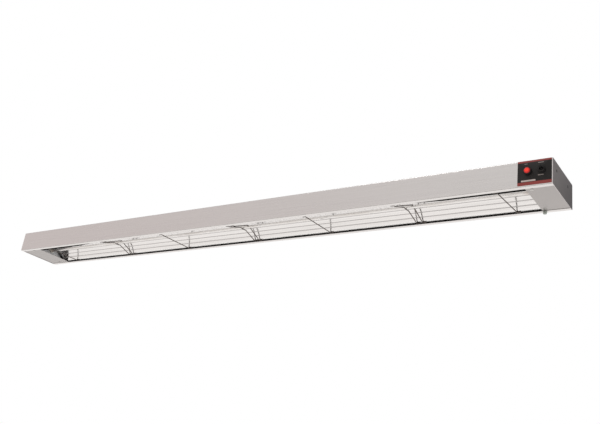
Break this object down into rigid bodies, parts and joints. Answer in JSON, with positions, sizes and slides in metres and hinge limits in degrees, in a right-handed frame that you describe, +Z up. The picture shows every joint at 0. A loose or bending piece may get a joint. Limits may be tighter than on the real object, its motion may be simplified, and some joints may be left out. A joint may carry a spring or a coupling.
{
  "type": "strip food warmer",
  "caption": "Long overhead infrared food warmer: stainless housing, bright reflector trough, tubular element behind wire guards, toggle switch and red pilot light.",
  "frame": {"origin": "centre of the top face, where the warmer meets the shelf that it hangs under", "axes": "+X along the warmer to the control end, +Y to the rear, +Z up"},
  "size_m": [1.829, 0.1734, 0.069],
  "materials": {
    "stainless_brushed": "brushed, satin",
    "stainless_cover": "satin",
    "reflector_bright": "bright rolled",
    "galvanised": "galvanised, dull",
    "element_sheath": "satin sheath",
    "guard_wire": "plated wire, darkened by heat",
    "ceramic": "unglazed",
    "brass_terminal": "plain",
    "screw_plated": "zinc plated",
    "screw_dark": "dark plated",
    "panel_black": "black with two red bands",
    "lens_red": "translucent red",
    "plastic_black": "moulded",
    "phenolic_brown": "moulded",
    "bushing_metal": "black plated",
    "lead_black": "silicone insulated",
    "lead_red": "silicone insulated",
    "lead_white": "silicone insulated",
    "lead_green": "silicone insulated",
    "ground_green": "green plated"
  },
  "bodies": {
    "warmer": {"housing": "stainless_brushed", "end_cap_left": "stainless_brushed", "end_cap_right": "stainless_brushed", "end_cap_screws": "screw_plated", "cover_left": "stainless_cover", "cover_right": "stainless_cover", "cover_brackets": "galvanised", "cover_screws": "screw_plated", "cover_hex_screw": "screw_dark", "reflector": "reflector_bright", "reflector_end_left": "galvanised", "reflector_end_right": "galvanised", "reflector_hangers": "galvanised", "hanger_rivets": "screw_plated", "element_tube": "element_sheath", "insulator_left": "ceramic", "insulator_right": "ceramic", "terminal_pins": "brass_terminal", "terminal_nuts": "screw_plated", "guard_wire_1": "guard_wire", "guard_wire_2": "guard_wire", "guard_wire_3": "guard_wire", "guard_wire_4": "guard_wire", "cradle_wire_1": "guard_wire", "cradle_wire_2": "guard_wire", "cradle_wire_3": "guard_wire", "retainer_wire_1": "guard_wire", "retainer_wire_2": "guard_wire", "retainer_wire_3": "guard_wire", "control_panel": "panel_black", "pilot_lens": "lens_red", "pilot_body": "plastic_black", "pilot_nut": "plastic_black", "switch_body": "phenolic_brown", "switch_bushing": "bushing_metal", "switch_nut": "plastic_black", "terminal_block": "ceramic", "terminal_screws": "brass_terminal", "line_lead": "lead_black", "switched_lead": "lead_red", "return_lead": "lead_white", "pilot_lead_live": "lead_red", "pilot_lead_neutral": "lead_white", "ground_lead": "lead_green", "ground_screw": "ground_green", "ground_nut": "screw_plated", "inlet_bushing": "plastic_black", "lead_clips": "galvanised", "mount_nuts": "screw_plated"},
    "toggle": {"switch_lever": "plastic_black"}
  },
  "joints": [
    {"name": "toggle_pivot", "type": "hinge", "parent": "warmer", "child": "toggle", "pos_m": [0.891, -0.0805, -0.0275], "axis": [1, 0, 0], "range_deg": [0, 26]}
  ]
}
